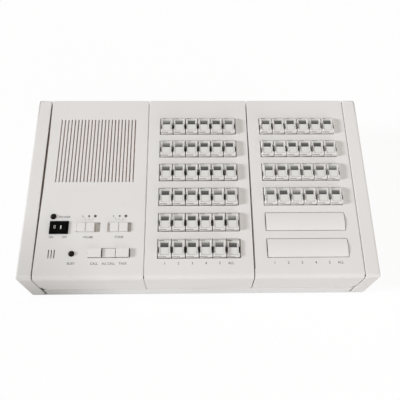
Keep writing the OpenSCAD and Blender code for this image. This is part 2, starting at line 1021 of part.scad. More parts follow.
module line_connectors() {
    color([0.16, 0.17, 0.19])
        for (cx = [-panel_w, 0, panel_w])
            translate([cx, 0, line_z])
                difference() {
                    union() {
                        prism_y(back_panel_y - line_depth, back_panel_y + back_panel_t)
                            square([line_w, line_h], center = true);
                        prism_y(back_panel_y - line_flange_t, back_panel_y)
                            square([line_flange_w, line_h], center = true);
                    }
                    prism_y(back_panel_y + back_panel_t - line_cavity_depth, back_y)
                        square([line_cavity_w, line_cavity_h], center = true);
                    for (s = [-1, 1])
                        translate([s * line_screw_x, back_panel_y + 1, 0])
                            rotate([90, 0, 0])
                                post(board_screw_r, 0, line_flange_t + 2);
                }
}

module dc_inlet() {
    face = back_panel_y + back_panel_t;
    color([0.10, 0.10, 0.10])
        translate([inlet_x, 0, inlet_z]) {
            difference() {
                union() {
                    prism_y(face - inlet_depth, face)
                        square([inlet_w, inlet_h], center = true);
                    prism_y(back_panel_y - 1.5, back_panel_y)
                        square([inlet_w + 3, inlet_h + 3], center = true);
                }
                translate([0, face + 1, 0])
                    rotate([90, 0, 0])
                        cylinder(r = inlet_bore_r, h = inlet_bore_depth + 1);
            }
            translate([0, face - 1, 0])
                rotate([90, 0, 0])
                    cylinder(r = inlet_pin_r, h = inlet_bore_depth);
        }
}

// Flat cable from under each board down to the connector behind it
module wiring_ribbons() {
    color([0.55, 0.55, 0.58])
        for (cx = [-panel_w, 0, panel_w])
            prism_x(cx - ribbon_w / 2, cx + ribbon_w / 2)
                polygon(ribbon_path(cx < 0 ? control_board_back - 8 : board_back - 28));
}

// Closed outline of a ribbon that leaves a board's underside at v, as Y and Z
function ribbon_path(v) =
    let (w = -board_depth - board_t,
         y0 = front_y + v * cos(deck_slope) - w * sin(deck_slope),
         z0 = front_h + v * sin(deck_slope) + w * cos(deck_slope),
         end_y = back_panel_y - line_depth)
    [[y0, z0], [y0 + ribbon_t, z0 + ribbon_t * deck_rise], [y0 + ribbon_t, line_z + ribbon_t],
     [end_y, line_z + ribbon_t], [end_y, line_z], [y0, line_z]];

// ---- Nodes ------------------------------------------------------------------------------

base_tray();
left_cheek();
right_cheek();
control_faceplate();
middle_faceplate();
right_faceplate();
blanking_plates();
rear_panel();
speaker_frame();
speaker_magnet();
speaker_cone();
control_board();
key_boards();
push_switches();
slide_switches();
power_switch_frame();
indicator_lamps();
microphone();
line_connectors();
dc_inlet();
wiring_ribbons();
rubber_feet();
case_screws();
board_screws();
call_button();
all_call_button();
talk_button();
voice_slider();
tone_slider();
power_rocker();
for (i = [0:len(ROW_KEYS) - 1])
    place_key(0, floor(i / keys), i % keys);
for (r = [4, 5])
    key_row(0, r);
for (r = [2:5])
    key_row(panel_w, r);
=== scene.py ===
"""Looks of a desk intercom console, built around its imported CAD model.

Sizes in this script are millimetres unless they say otherwise. A place on the sloping deck is
written as (across, up the deck, out of the deck), from the middle of the deck's front edge.
"""

import math
import random

import bmesh
import bpy
from mathutils import Matrix, Vector


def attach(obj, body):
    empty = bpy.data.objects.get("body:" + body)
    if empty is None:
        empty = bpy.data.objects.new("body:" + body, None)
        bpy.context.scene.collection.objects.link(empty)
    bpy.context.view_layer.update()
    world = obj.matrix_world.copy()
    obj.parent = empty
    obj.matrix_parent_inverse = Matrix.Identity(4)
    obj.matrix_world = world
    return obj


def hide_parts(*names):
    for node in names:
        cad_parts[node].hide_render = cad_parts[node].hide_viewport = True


MM = 0.001

# ---- The deck's own frame ---------------------------------------------------------------

SLOPE = math.radians(8)
DECK_LENGTH = 222.5
FRONT_Y = -DECK_LENGTH * math.cos(SLOPE) / 2
FRONT_H = 58.5
PANEL = 120
TO_METRES = Matrix.Scale(MM, 4)     # from millimetres in the shared frame
DECK = TO_METRES @ Matrix.Translation((0, FRONT_Y, FRONT_H)) @ Matrix.Rotation(SLOPE, 4, "X")


def deck_place(x, v, w=0.0):
    """Matrix, in metres, of a spot on the deck."""
    return DECK @ Matrix.Translation((x, v, w))


def deck_way(x, v, w):
    """A direction on the deck as a unit direction in the shared frame."""
    return (DECK.to_3x3() @ Vector((x, v, w))).normalized()


# ---- Camera -----------------------------------------------------------------------------

# The eye's place on the deck, and its right, up and back ways there
EYE = (-7.0015, -88.5134, 477.7999)
EYE_WAYS = ((0.9998469, -0.0103356, 0.0141160),
            (0.0047486, 0.9368775, 0.3496254),
            (-0.0168386, -0.3495049, 0.9367832))
FOCAL_LENGTH = 40.14


def place_camera():
    data = bpy.data.cameras.new("photo_camera")
    data.sensor_width = 36
    data.lens = FOCAL_LENGTH
    data.clip_start = 0.01
    camera = bpy.data.objects.new("photo_camera", data)
    bpy.context.scene.collection.objects.link(camera)
    turn = Matrix([deck_way(*way) for way in EYE_WAYS]).transposed().to_4x4()
    camera.matrix_world = Matrix.Translation(deck_place(*EYE).translation) @ turn
    bpy.context.scene.camera = camera


place_camera()
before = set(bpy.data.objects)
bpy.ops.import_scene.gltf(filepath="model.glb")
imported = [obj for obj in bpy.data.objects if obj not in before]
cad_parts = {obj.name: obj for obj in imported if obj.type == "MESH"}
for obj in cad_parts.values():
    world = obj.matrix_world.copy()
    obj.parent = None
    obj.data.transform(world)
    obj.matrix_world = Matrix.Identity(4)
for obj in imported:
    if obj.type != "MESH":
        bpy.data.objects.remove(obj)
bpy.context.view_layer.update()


# ---- Finishes ---------------------------------------------------------------------------

def tint(red, green, blue):
    """A colour as seen on a screen, 0 to 255, as a linear colour with alpha."""
    def linear(c):
        c /= 255
        return c / 12.92 if c <= 0.04045 else ((c + 0.055) / 1.055) ** 2.4
    return (linear(red), linear(green), linear(blue), 1.0)


class Wire:
    """A node's output. Sums with it add Math nodes to its finish."""

    def __init__(self, finish, socket):
        self.finish = finish
        self.socket = socket

    def _sum(self, operation, first, second):
        return self.finish.node("ShaderNodeMath", {"operation": operation}, {0: first, 1: second})

    def __add__(self, other):
        return self._sum("ADD", self, other)

    def __radd__(self, other):
        return self._sum("ADD", other, self)

    def __mul__(self, other):
        return self._sum("MULTIPLY", self, other)

    def __gt__(self, other):
        return self._sum("GREATER_THAN", self, other)


class Finish:
    """One material and the nodes behind it, on Object coordinates in metres."""

    def __init__(self, name):
        self.material = bpy.data.materials.new(name)
        self.material.use_nodes = True
        self.tree = self.material.node_tree
        self.tree.nodes.clear()

    def node(self, kind, settings=None, sockets=None, out=0):
        made = self.tree.nodes.new(kind)
        for name, value in (settings or {}).items():
            if name == "stops":
                ramp = made.color_ramp
                while len(ramp.elements) < len(value):
                    ramp.elements.new(1.0)
                for element, (at, colour) in zip(ramp.elements, value):
                    element.position = at
                    element.color = colour
            else:
                setattr(made, name, value)
        for key, value in (sockets or {}).items():
            if isinstance(value, Wire):
                self.tree.links.new(value.socket, made.inputs[key])
            else:
                made.inputs[key].default_value = value
        return Wire(self, made.outputs[out])

    def place(self):
        return self.node("ShaderNodeTexCoord", out="Object")

    def noise(self, scale, detail, place=None):
        """Noise from 0 to 1; scale is in cycles a metre, detail in octaves."""
        return self.node("ShaderNodeTexNoise", None,
                         {"Vector": place or self.place(), "Scale": scale, "Detail": detail})

    def ramp(self, value, *stops):
        return self.node("ShaderNodeValToRGB", {"stops": stops}, {0: value})

    def mix(self, amount, first, second):
        """Colours, from first at 0 to second at 1."""
        return self.node("ShaderNodeMix", {"data_type": "RGBA"}, {0: amount, 6: first, 7: second},
                         out=2)

    def bump(self, height, depth):
        """Normal of a relief of that depth in millimetres."""
        return self.node("ShaderNodeBump", None,
                         {"Strength": 1.0, "Distance": depth * MM, "Height": height})

    def shade(self, colour, roughness, normal=None, **constants):
        """The surface. Constants are Principled BSDF sockets, with _ for a space."""
        sockets = {"Base Color": colour, "Roughness": roughness}
        if normal:
            sockets["Normal"] = normal
        for name, value in constants.items():
            sockets[name.replace("_", " ").title().replace("Ior", "IOR")] = value
        surface = self.node("ShaderNodeBsdfPrincipled", None, sockets)
        end = self.tree.nodes.new("ShaderNodeOutputMaterial")
        self.tree.links.new(surface.socket, end.inputs["Surface"])
        return self.material


# The front left corner, in metres, and how the painted shade that darkens the case fades away from
# it: (metres, share left)
SHADED_CORNER = (-0.197, -0.120, 0.0)
CORNER_SHADE_FADE = ((0.015, 1.0), (0.05, 0.62), (0.11, 0.0))
CORNER_SHADE_COLOUR = tint(148, 144, 140)


def moulded_plastic(name, colour, aged, grain_depth, roughness, speckle=0.35, corner_shade=0.0):
    """Moulded case plastic: fine satin grain, a slow drift of colour and faint handling marks.

    The last argument, from 0 to 1, is how strongly the case is darkened towards its front left
    corner: painted shade.
    """
    f = Finish(name)
    drift = f.noise(7.0, 3.0)
    marks = f.noise(60.0, 5.0)
    grain = f.noise(2400.0, 2.0)
    base = f.mix(f.ramp(drift, (0.35, (0, 0, 0, 1)), (0.7, (1, 1, 1, 1))), colour, aged)
    worn_and_shaded = f.mix((marks > 0.66) * speckle, base, aged)
    # Painted shade: darker towards the front left corner
    if corner_shade:
        away = f.node("ShaderNodeVectorMath", {"operation": "DISTANCE"},
                      {0: f.place(), 1: SHADED_CORNER}, out="Value")
        painted_shade = f.ramp(away, *[(at, (corner_shade * share,) * 3 + (1,)) for at, share in CORNER_SHADE_FADE])
        worn_and_shaded = f.mix(painted_shade, worn_and_shaded, CORNER_SHADE_COLOUR)
    normal = f.bump(grain, grain_depth)
    return f.shade(worn_and_shaded, roughness - 0.04 + marks * 0.08, normal, specular_ior_level=0.22)


def dyed_plastic(name, colour, roughness, grain_depth=0.012, sheen=0.5):
    """Small dyed mouldings, with a dusty, lighter bloom; sheen is how strongly they reflect."""
    f = Finish(name)
    bloom = f.noise(140.0, 4.0)
    pale = tuple(min(1.0, c * 1.25 + 0.002) for c in colour[:3]) + (1.0,)
    normal = f.bump(f.noise(1800.0, 1.0), grain_depth)
    return f.shade(f.mix(bloom, colour, pale), roughness - 0.05 + bloom * 0.1, normal,
                   specular_ior_level=sheen)


def plated_metal(name, colour, dull, roughness):
    """Plated sheet or wire, with fine drawn lines and a mottled plating."""
    f = Finish(name)
    place = f.place()
    stretched = f.node("ShaderNodeMapping", None, {"Vector": place, "Scale": (1.0, 12.0, 12.0)})
    drawn = f.noise(420.0, 2.0, stretched)
    spangle = f.noise(180.0, 3.0, place)
    normal = f.bump(drawn, 0.01)
    return f.shade(f.mix(spangle, colour, dull), roughness + spangle * 0.12, normal, metallic=1.0)


def key_window(name):
    """Dark lens strip of a key and the plate above it; their greys come with the mesh, and on that
    plate they are painted shade.
    """
    f = Finish(name)
    depth = f.node("ShaderNodeAttribute", {"attribute_name": "shade"}, out="Color")
    dust = f.noise(900.0, 3.0)
    colour = f.mix(dust * 0.07, depth, tint(150, 148, 142))
    return f.shade(colour, 0.22 + dust * 0.1, coat_weight=0.3, coat_roughness=0.05)


def key_label(name):
    """Paper slip under the key's clear cover."""
    f = Finish(name)
    fibre = f.noise(1500.0, 4.0)
    cloud = f.noise(90.0, 2.0)
    paper = f.mix(fibre, tint(224, 223, 219), tint(232, 231, 228))
    return f.shade(f.mix(cloud * 0.4, paper, tint(214, 212, 205)), 0.35 + fibre * 0.1,
                   coat_weight=0.25, coat_roughness=0.1)


def speaker_paper(name):
    """Pressed brown paper, fibrous and dull."""
    f = Finish(name)
    fibre = f.noise(700.0, 5.0)
    return f.shade(f.mix(fibre, tint(84, 74, 68), tint(104, 93, 86)), 0.85, f.bump(fibre, 0.08))


def circuit_board(name):
    """Green lacquered board with copper tracks showing through."""
    f = Finish(name)
    place = f.place()
    across = f.node("ShaderNodeTexWave", {"wave_type": "BANDS", "bands_direction": "X"},
                    {"Vector": place, "Scale": 62.0, "Distortion": 6.0, "Detail": 0.0}, out=1)
    along = f.node("ShaderNodeTexWave", {"wave_type": "BANDS", "bands_direction": "Y"},
                   {"Vector": place, "Scale": 48.0, "Distortion": 5.0, "Detail": 0.0}, out=1)
    track = (across > 0.82) + (along > 0.86) > 0.5
    lacquer = f.mix(f.noise(40.0, 3.0), tint(30, 82, 42), tint(42, 98, 52))
    return f.shade(f.mix(track * 0.55, lacquer, tint(120, 130, 60)), 0.3 + track * 0.1,
                   f.bump(track, 0.035), coat_weight=0.4, coat_roughness=0.12)


HALF_RIB = 0.000635     # metres
RIB_SCALE = 1575.0      # makes a rib 1 high


def ribbon_vinyl(name):
    """Grey ribbon cable with a rib for each conductor."""
    f = Finish(name)
    across = f.node("ShaderNodeSeparateXYZ", None, {0: f.place()}, out="X")
    rib = f.node("ShaderNodeMath", {"operation": "PINGPONG"}, {0: across, 1: HALF_RIB}) * RIB_SCALE
    return f.shade(f.mix(rib, tint(118, 118, 124), tint(160, 160, 166)), 0.45, f.bump(rib, 0.3))


def printed_ink(name, colour):
    f = Finish(name)
    wear = f.noise(2600.0, 2.0)
    return f.shade(f.mix(wear * 0.3, colour, tint(176, 174, 170)), 0.55)


def rubber(name, colour, dusty):
    f = Finish(name)
    dust = f.noise(300.0, 4.0)
    return f.shade(f.mix(dust, colour, dusty), 0.75 + dust * 0.15,
                   f.bump(f.noise(1200.0, 3.0), 0.05))


CREAM = moulded_plastic("case_plastic", tint(234, 232, 230), tint(229, 226, 223), 0.02, 0.6,
                        corner_shade=0.55)
BASE = moulded_plastic("base_plastic", tint(236, 235, 234), tint(230, 229, 227), 0.03, 0.62,
                       corner_shade=0.8)
KEY = moulded_plastic("key_plastic", tint(235, 233, 231), tint(230, 227, 224), 0.008, 0.44, 0.2)
# A darker copy of the key plastic: painted shade on the keys' window slopes and the seam tongues
KEY_SLOPE_SHADE = moulded_plastic("key_slopes_painted_shade", tint(211, 208, 205), tint(206, 203, 199),
                            0.008, 0.42, 0.2)
# Darker copies of the key plastic: painted shade on the right-hand sides of the slide knobs and the
# buttons
KEY_SHADE = moulded_plastic("key_sides_painted_shade", tint(156, 151, 147), tint(148, 143, 139),
                            0.008, 0.5, 0.2)
BUTTON_SHADE = moulded_plastic("button_sides_painted_shade", tint(104, 96, 91), tint(96, 89, 84),
                               0.008, 0.5, 0.2)
BLANK = moulded_plastic("blank_plastic", tint(236, 234, 232), tint(232, 229, 227), 0.012, 0.54,
                        0.2)
LENS = key_window("window_lens")
SLIP = key_label("label_slip")
# Dark grey: painted shade on the blanking plates' end faces and along the keys' back bevels
DARK_EDGE_SHADE = dyed_plastic("dark_edge_painted_shade", tint(70, 68, 66), 0.7)
# Mid grey: painted shade down the keys' finger notches and along the openings' edges
GAP_SHADE = dyed_plastic("gap_painted_shade", tint(104, 100, 97), 0.7)
FRONT_BEVEL_SHADE = dyed_plastic("front_bevel_painted_shade", tint(160, 156, 153), 0.7)
SEAM_SHADOW = dyed_plastic("seam_painted_shadow", tint(92, 79, 72), 0.75, sheen=0.2)
ROCKER = dyed_plastic("rocker_black", tint(5, 5, 5), 0.24, 0.004, sheen=0.04)
BEZEL = dyed_plastic("bezel_black", tint(7, 7, 7), 0.38, 0.01, sheen=0.04)
COLLAR = dyed_plastic("lamp_collar", tint(9, 8, 8), 0.4, sheen=0.06)
LAMP = dyed_plastic("lamp_lens", tint(16, 7, 7), 0.16, 0.0, sheen=0.12)
SWITCH = dyed_plastic("switch_black", tint(40, 40, 42), 0.5)
HOUSING = dyed_plastic("slide_housing", tint(214, 208, 202), 0.5)
CONNECTOR = dyed_plastic("connector_black", tint(34, 35, 38), 0.45)
RUBBER = rubber("foot_rubber", tint(34, 34, 34), tint(62, 61, 58))
FELT = rubber("microphone_rubber", tint(96, 90, 86), tint(116, 110, 104))
STEEL = plated_metal("screw_plating", tint(196, 197, 200), tint(168, 168, 166), 0.26)
FRAME_STEEL = plated_metal("basket_plating", tint(96, 97, 98), tint(70, 70, 70), 0.42)
GILT = plated_metal("contact_plating", tint(214, 178, 98), tint(190, 150, 76), 0.22)
FERRITE = dyed_plastic("sintered_ferrite", tint(46, 46, 48), 0.62, 0.05)
PAPER = speaker_paper("cone_paper")
SCREEN = dyed_plastic("screen_brown", tint(176, 144, 128), 0.7, 0.04, sheen=0.2)
CAP = dyed_plastic("dust_cap", tint(84, 76, 70), 0.6, 0.03, sheen=0.2)
BOARD = circuit_board("circuit_board")
VINYL = ribbon_vinyl("ribbon_vinyl")
GREY_INK = printed_ink("grey_ink", tint(104, 102, 104))
DARK_INK = printed_ink("dark_ink", tint(34, 32, 32))
PALE_INK = printed_ink("pale_ink", tint(150, 146, 144))
WHITE_INK = printed_ink("white_ink", tint(214, 212, 206))


# ---- Making and keeping pieces ----------------------------------------------------------

def new_piece(name, mesh, *materials):
    if mesh.materials:
        mesh.materials.clear()      # it would also reset the indices of a joined mesh's faces
    for material in materials:
        mesh.materials.append(material)
    piece = bpy.data.objects.new(name, mesh)
    bpy.context.scene.collection.objects.link(piece)
    return piece


def keep(piece, body, slot, *nodes):
    """The piece rides on a body, and stands for those CAD nodes."""
    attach(piece, body)
    if nodes:
        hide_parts(*nodes)


def smooth(mesh, angle):
    mesh.shade_smooth()
    mesh.set_sharp_from_angle(angle=math.radians(angle))


def baked(piece, name, *materials):
    """The piece with its modifiers worked into a plain mesh, at the origin."""
    graph = bpy.context.evaluated_depsgraph_get()
    mesh = bpy.data.meshes.new_from_object(piece.evaluated_get(graph), depsgraph=graph)
    mesh.name = name
    bpy.data.objects.remove(piece)
    if materials:
        return new_piece(name, mesh, *materials)
    result = bpy.data.objects.new(name, mesh)
    bpy.context.scene.collection.objects.link(result)
    return result


def cad_mesh(node):
    """A CAD node's mesh with its loose triangles joined into whole faces."""
    work = bmesh.new()
    work.from_mesh(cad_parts[node].data)
    bmesh.ops.remove_doubles(work, verts=work.verts, dist=2e-6)
    bmesh.ops.dissolve_limit(work, angle_limit=math.radians(0.4), verts=work.verts,
                             edges=work.edges)
    mesh = bpy.data.meshes.new(node)
    work.to_mesh(mesh)
    work.free()
    return mesh


SHARP = 32      # degrees: edges that turn more than this are rounded off


def softened(node, name, material, radius, segments=2):
    """A CAD node's form with its sharp edges rounded off, as moulded plastic has them."""
    piece = new_piece("rough_" + name, cad_mesh(node), material)
    smooth(piece.data, SHARP)
    bevel = piece.modifiers.new("edges", "BEVEL")
    bevel.width = radius * MM
    bevel.segments = segments
    bevel.limit_method = "ANGLE"
    bevel.angle_limit = math.radians(SHARP)
    bevel.use_clamp_overlap = False
    even = piece.modifiers.new("shading", "WEIGHTED_NORMAL")
    even.keep_sharp = True
    return baked(piece, name, material)


def lathe(rings, steps):
    """A mesh turned about Z from (radius, height) pairs; the first and last may lie on the axis."""
    work = bmesh.new()
    around = [[work.verts.new((r * math.cos(2 * math.pi * i / steps),
                               r * math.sin(2 * math.pi * i / steps), z))
               for i in range(steps)] if r > 0 else [work.verts.new((0, 0, z))]
              for r, z in rings]
    for low, high in zip(around, around[1:]):
        for i in range(steps):
            j = (i + 1) % steps
            if len(low) == 1:
                work.faces.new((low[0], high[i], high[j]))
            elif len(high) == 1:
                work.faces.new((low[i], high[0], low[j]))
            else:
                work.faces.new((low[i], high[i], high[j], low[j]))
    bmesh.ops.recalc_face_normals(work, faces=work.faces)
    mesh = bpy.data.meshes.new("turned")
    work.to_mesh(mesh)
    work.free()
    return mesh


def joined(parts):
    """One mesh from (mesh, matrix, material index) parts; None keeps the mesh's own indices."""
    work = bmesh.new()
    work.loops.layers.float_color.new("shade")
    for mesh, place, index in parts:
        piece = bmesh.new()
        piece.from_mesh(mesh)
        if "shade" not in piece.loops.layers.float_color:
            piece.loops.layers.float_color.new("shade")
        bmesh.ops.transform(piece, matrix=place, verts=piece.verts)
        own = [face.material_index if index is None else index for face in piece.faces]
        temporary = bpy.data.meshes.new("part")
        piece.to_mesh(temporary)
        piece.free()
        start = len(work.faces)
        work.from_mesh(temporary)
        work.faces.ensure_lookup_table()
        for face, number in zip(work.faces[start:], own):
            face.material_index = number
        bpy.data.meshes.remove(temporary)
    result = bpy.data.meshes.new("joined")
    work.to_mesh(result)
    work.free()
    return result


def slab(x0, x1, v0, v1, w0, w1, flare=0.0):
    """A plate whose top is drawn in by flare on each side."""
    work = bmesh.new()
    low = [work.verts.new(p) for p in ((x0, v0, w0), (x1, v0, w0), (x1, v1, w0), (x0, v1, w0))]
    high = [work.verts.new(p) for p in ((x0 + flare, v0 + flare, w1), (x1 - flare, v0 + flare, w1),
                                        (x1 - flare, v1 - flare, w1), (x0 + flare, v1 - flare, w1))]
    work.faces.new(low[::-1])
    work.faces.new(high)
    for i in range(4):
        j = (i + 1) % 4
        work.faces.new((low[i], low[j], high[j], high[i]))
    mesh = bpy.data.meshes.new("slab")
    work.to_mesh(mesh)
    work.free()
    return mesh


LEVEL = Matrix.Rotation(-SLOPE, 3, "X")     # turns a direction into the deck's frame


def refinished(piece, material, test):
    """The piece with another material where a face's normal, in the deck's frame, passes."""
    piece.data.materials.append(material)
    for face in piece.data.polygons:
        if test(LEVEL @ face.normal):
            face.material_index = len(piece.data.materials) - 1
    return piece


# ---- Case -------------------------------------------------------------------------------

for node, edge in (("left_cheek", 0.5), ("right_cheek", 0.5), ("control_faceplate", 0.3),
                   ("middle_faceplate", 0.3), ("right_faceplate", 0.3)):
    keep(softened(node, node + "_moulding", CREAM, edge), "case", "case_plastic", node)

# Tongues in two of the seams, TONGUE_DEPTH below the faces, down the deck and the apron
FRONT_ROUND = 6
APRON = 36
TONGUE_DEPTH = 1.0
TONGUE_THICK = 0.4
TONGUE_HALF = 0.6
tongues = []
for x in (-PANEL / 2, PANEL * 1.5 + 0.1):
    tongues.append((slab(-TONGUE_HALF, TONGUE_HALF, FRONT_ROUND / 2, DECK_LENGTH - 4,
                         -TONGUE_DEPTH - TONGUE_THICK, -TONGUE_DEPTH), deck_place(x, 0), 0))
    tongues.append((slab(x - TONGUE_HALF, x + TONGUE_HALF, FRONT_Y + TONGUE_DEPTH,
                         FRONT_Y + TONGUE_DEPTH + TONGUE_THICK, FRONT_H - APRON + 1,
                         FRONT_H - FRONT_ROUND / 2), TO_METRES, 0))
# The tongues take the darker copy of the key plastic: painted shade
keep(new_piece("seam_tongues", joined(tongues), KEY_SLOPE_SHADE), "case", "case_plastic")
corner = slab(PANEL * 1.5 - 8.5, PANEL * 1.5 + 0.7, FRONT_Y + 2.2, FRONT_Y + 2.7, 5.2, 31)
keep(new_piece("corner_filler", joined([(corner, TO_METRES, 0)]), BASE), "case", "base_plastic")


def seam_shadow_strip(x, widths):
    """A thin painted shadow on the deck along x, from (place up the deck, width) pairs."""
    mesh = bpy.data.meshes.new("seam_shadow_strip")
    points = [(x, v, 0) for v, _ in widths] + [(x + wide, v, 0) for v, wide in widths]
    n = len(widths)
    mesh.from_pydata(points, [], [(i, i + n, i + n + 1, i + 1) for i in range(n - 1)])
    return mesh


# Painted shadow along the seams beside the cheeks, widest along the left one
SEAM_SHADOW_UP = 0.03
SEAM_EDGE = PANEL / 2 - 0.6
LEFT_SEAM_SHADOW = ((20, 0.15), (45, 0.5), (75, 0.8), (105, 1.3), (165, 1.35), (195, 0.8),
                   (216, 0.4))
RIGHT_SEAM_SHADOW = ((10, 0.45), (75, 0.45), (135, 0.25), (165, 0.1))
seam_shadows = joined([(seam_shadow_strip(middle - SEAM_EDGE, widths), deck_place(0, 0, SEAM_SHADOW_UP), 0)
                 for middle, widths in ((-PANEL, LEFT_SEAM_SHADOW), (PANEL, RIGHT_SEAM_SHADOW))])
keep(new_piece("seam_stains", seam_shadows, SEAM_SHADOW), "case", "case_plastic")

keep(softened("base_tray", "base_tray_moulding", BASE, 0.4), "case", "base_plastic", "base_tray")
keep(softened("rear_panel", "rear_panel_moulding", BASE, 0.25), "case", "base_plastic",
     "rear_panel")
blanks = softened("blanking_plates", "blanking_plate_mouldings", BLANK, 0.3)
# The plates' end faces take the dark finish: painted shade that widens the gaps at their ends
keep(refinished(blanks, DARK_EDGE_SHADE, lambda n: abs(n.x) > 0.5), "case", "key_plastic",
     "blanking_plates")
keep(softened("rubber_feet", "rubber_feet_turned", RUBBER, 0.3), "case", "rubber_black",
     "rubber_feet")

# ---- Station keys -----------------------------------------------------------------------

KEY_PITCH = 15
KEY_WIDTH = 14
ROW_PITCH = 30.5
ROW_FIRST = 33
KEY_TOP = 5
WINDOW_SINK = 1.0
LATCH = 2.2

KEY_FINISHES = (KEY, KEY_SLOPE_SHADE, LENS, SLIP, DARK_EDGE_SHADE, GAP_SHADE, FRONT_BEVEL_SHADE)

LENS_DRAWS = random.Random(31)
LENS_FRONT = (28, 14)       # grey, and how much a draw adds
LENS_BACK = (82, 88)


def lens_greys():
    """Greys of a key's lens at its front and back edges, drawn at random for each key."""
    return (LENS_FRONT[0] + LENS_FRONT[1] * LENS_DRAWS.random(),
            LENS_BACK[0] + LENS_BACK[1] * LENS_DRAWS.random() ** 2)


def shaded_slab(v0, v1, left, right):
    """A strip across the window. left and right are its greys at the front and back edges."""
    mesh = slab(-4.75, 3.95, v0, v1, 0.0, 0.42, 0.06)
    shade = mesh.color_attributes.new("shade", "FLOAT_COLOR", "CORNER")
    for face in mesh.polygons:
        for loop in face.loop_indices:
            x, v, _ = mesh.vertices[mesh.loops[loop].vertex_index].co
            grey = (left if x < 0 else right)[0 if v < (v0 + v1) / 2 else 1]
            shade.data[loop].color = tint(grey, grey, grey * 0.97)
    return mesh


# The window's plates, from its middle: lens, rest of the window above it, and label; the rest
# plate's greys, darker on its left, are painted shade
LENS_EDGES = (0.55, 5.15)
REST_SHADE_PLATE = shaded_slab(5.2, 7.05, (176, 192), (206, 216))
LABEL_PLATE = slab(-4.35, 4.35, -7.9, 0.4, 0.0, 0.38, 0.12)

# The finger notches' middle up the key, length, width and depth
NOTCH_V, NOTCH_LONG, NOTCH_WIDE, NOTCH_DEEP = -2.2, 7.4, 1.0, 6.5
# A dark plate down each notch: painted shade
NOTCH_SHADE_PLATE = slab(0.0, NOTCH_WIDE - 0.05, NOTCH_V - NOTCH_LONG / 2 + 0.05,
                   NOTCH_V + NOTCH_LONG / 2 - 0.05, 0.0, 0.05)

# Dark marks on the cap's bevels, painted shade: the bevel's top edge up the key, its slope, the
# mark and its finish
BEVEL_DARKENINGS = ((7.6, math.radians(-39.2), slab(-6.2, -0.8, 0.12, 1.25, 0.0, 0.04), DARK_EDGE_SHADE),
         (-8.5, math.radians(50.7), slab(-6.6, 1.6, -2.7, -1.35, 0.0, 0.04), FRONT_BEVEL_SHADE))


def dressed_key(name, body, node, keys):
    """Key caps from a CAD node, each with its lens, label and dark bevel marks, and painted shade
    on its window slopes, rest plate and notch floors.
    """
    # The window slopes take the darker copy of the key plastic: painted shade
    cap = refinished(softened(node, name + "_cap", KEY, 0.3), KEY_SLOPE_SHADE,
                     lambda n: 0.2 < n.z < 0.97 and n.x < 0.3 and n.y > -0.3)
    plates = []
    for x, v, down in keys:
        greys = lens_greys()
        floor = deck_place(x, v, KEY_TOP - WINDOW_SINK - down)
        plates.append((shaded_slab(*LENS_EDGES, greys, greys), floor, LENS))
        plates.append((REST_SHADE_PLATE, floor, LENS))
        plates.append((LABEL_PLATE, floor, SLIP))
        for edge, slope, darkening, finish in BEVEL_DARKENINGS:
            turn = Matrix.Rotation(slope, 4, "X")
            plates.append((darkening, deck_place(x, v + edge, KEY_TOP - down) @ turn, finish))
        for side in (-KEY_WIDTH / 2, KEY_WIDTH / 2 - NOTCH_WIDE + 0.05):
            plates.append((NOTCH_SHADE_PLATE, deck_place(x + side, v, KEY_TOP - NOTCH_DEEP - down),
                           GAP_SHADE))
    mesh = joined([(cap.data, Matrix.Identity(4), None)]
                  + [(plate, place, KEY_FINISHES.index(finish)) for plate, place, finish in plates])
    smooth(mesh, 40)
    bpy.data.objects.remove(cap)
    keep(new_piece(name + "_dressed", mesh, *KEY_FINISHES), body, "key_plastic", node)


def key_spot(panel, row, column):
    latched = panel == 0 and row == 0 and column == 5
    return (panel * PANEL + (column - 2.5) * KEY_PITCH, ROW_FIRST + row * ROW_PITCH,
            LATCH if latched else 0.0)


for row in range(4):
    for column in range(6):
        node = f"row{row + 1}_key{column + 1}" if column < 5 else f"row{row + 1}_all_key"
        dressed_key(node, node, node, [key_spot(0, row, column)])
for panel, row, node in ((0, 4, "row5_keys"), (0, 5, "row6_keys"), (1, 2, "right_row3_keys"),
                         (1, 3, "right_row4_keys"), (1, 4, "right_row5_keys"),
                         (1, 5, "right_row6_keys")):
    dressed_key(node, node, node, [key_spot(panel, row, column) for column in range(6)])

# Painted shadow along the openings' edges, darkening them like wider gaps, from the middle of a row
ROW_END, ROW_FRONT = 45.1, -10.9
SHADOW_STRIP_UP = 0.03
dusty = []
for panel, rows, left, right, right_v0, right_v1 in (
        (0, range(6), 1.0, 0.9, ROW_FRONT, -ROW_FRONT),
        (1, range(2, 6), 0.6, 1.2, NOTCH_V - 3.5, NOTCH_V + 3.5)):
    for row in rows:
        middle = deck_place(panel * PANEL, ROW_FIRST + row * ROW_PITCH)
        for x0, x1, v0, v1 in ((ROW_END, ROW_END + right, right_v0, right_v1),
                               (-ROW_END - left, -ROW_END, ROW_FRONT, -ROW_FRONT),
                               (-ROW_END - left, ROW_END, ROW_FRONT - 0.4, ROW_FRONT)):
            dusty.append((slab(x0, x1, v0, v1, 0.0, SHADOW_STRIP_UP), middle, 0))
keep(new_piece("opening_dust", joined(dusty), GAP_SHADE), "case", "case_plastic")

# ---- Buttons, slide knobs and power switch -----------------------------------------------

# Right-hand faces of buttons and knobs take the darker copies: painted shade on the side away from
# the light
for node, kind, edge, steps, side in (("call_button", "_cap", 0.4, 3, BUTTON_SHADE),
                                      ("all_call_button", "_cap", 0.4, 3, BUTTON_SHADE),
                                      ("talk_button", "_cap", 0.4, 3, BUTTON_SHADE),
                                      ("voice_slider", "_knob", 0.25, 2, KEY_SHADE),
                                      ("tone_slider", "_knob", 0.25, 2, KEY_SHADE)):
    knob = refinished(softened(node, node + kind, KEY, edge, steps), side, lambda n: n.x > 0.5)
    keep(knob, node, "key_plastic", node)

